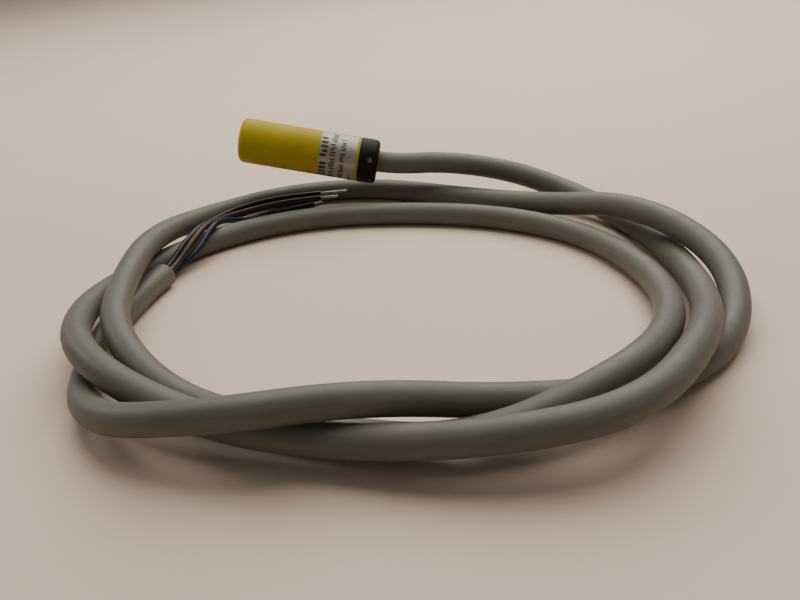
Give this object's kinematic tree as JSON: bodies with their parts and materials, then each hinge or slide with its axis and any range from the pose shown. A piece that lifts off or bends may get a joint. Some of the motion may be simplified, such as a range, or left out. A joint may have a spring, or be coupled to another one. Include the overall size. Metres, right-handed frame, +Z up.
{
  "type": "proximity sensor",
  "caption": "Short smooth-barrel cylindrical inductive proximity sensor with a foil label, rear cap and indicator, and an attached cable lying in loose turns with stripped cores.",
  "frame": {"origin": "centre of the sensing face", "axes": "+X along the coil's long side, towards the cable outlet; +Z up; the barrel's axis is turned 14 degrees from +X towards +Y and tilted 13.6 degrees, sensing face up"},
  "size_m": [0.126, 0.1168, 0.0248],
  "materials": {
    "yellow_plastic": "smooth moulded, slightly satin",
    "label_foil": "printed metallised foil",
    "black_plastic": "moulded, fine grain",
    "window_plastic": "translucent light pipe",
    "adhesive": "cured film",
    "ferrite": "sintered, dull",
    "bobbin_plastic": "moulded",
    "copper_wire": "enamelled wire",
    "board": "solder mask",
    "chip_black": "moulded package",
    "chip_ceramic": "fired ceramic",
    "led_body": "clear resin",
    "solder": "solder",
    "resin": "cured resin",
    "seal_rubber": "soft moulded",
    "crimp_metal": "formed strip",
    "cable_grey": "soft PVC, satin",
    "wire_brown": "PVC insulation",
    "wire_black": "PVC insulation",
    "wire_blue": "PVC insulation",
    "tinned_copper": "tinned strands"
  },
  "bodies": {
    "root": {"housing": "yellow_plastic", "rating_label": "label_foil", "end_cap": "black_plastic", "led_window": "window_plastic", "core_adhesive": "adhesive", "ferrite_core": "ferrite", "coil_bobbin": "bobbin_plastic", "coil_winding": "copper_wire", "coil_leads": "copper_wire", "core_holder": "bobbin_plastic", "circuit_board": "board", "oscillator_ic": "chip_black", "output_transistor": "chip_black", "protection_diode": "chip_black", "suppressor_diode": "chip_black", "chip_resistors": "chip_black", "chip_capacitors": "chip_ceramic", "status_led": "led_body", "solder_joints": "solder", "potting_compound": "resin", "cable_seal": "seal_rubber", "crimp_ring": "crimp_metal", "inner_lead_brown": "wire_brown", "inner_lead_black": "wire_black", "inner_lead_blue": "wire_blue", "cable_jacket": "cable_grey", "wire_brown": "wire_brown", "wire_black": "wire_black", "wire_blue": "wire_blue", "tip_brown": "tinned_copper", "tip_black": "tinned_copper", "tip_blue": "tinned_copper"}
  },
  "joints": []
}
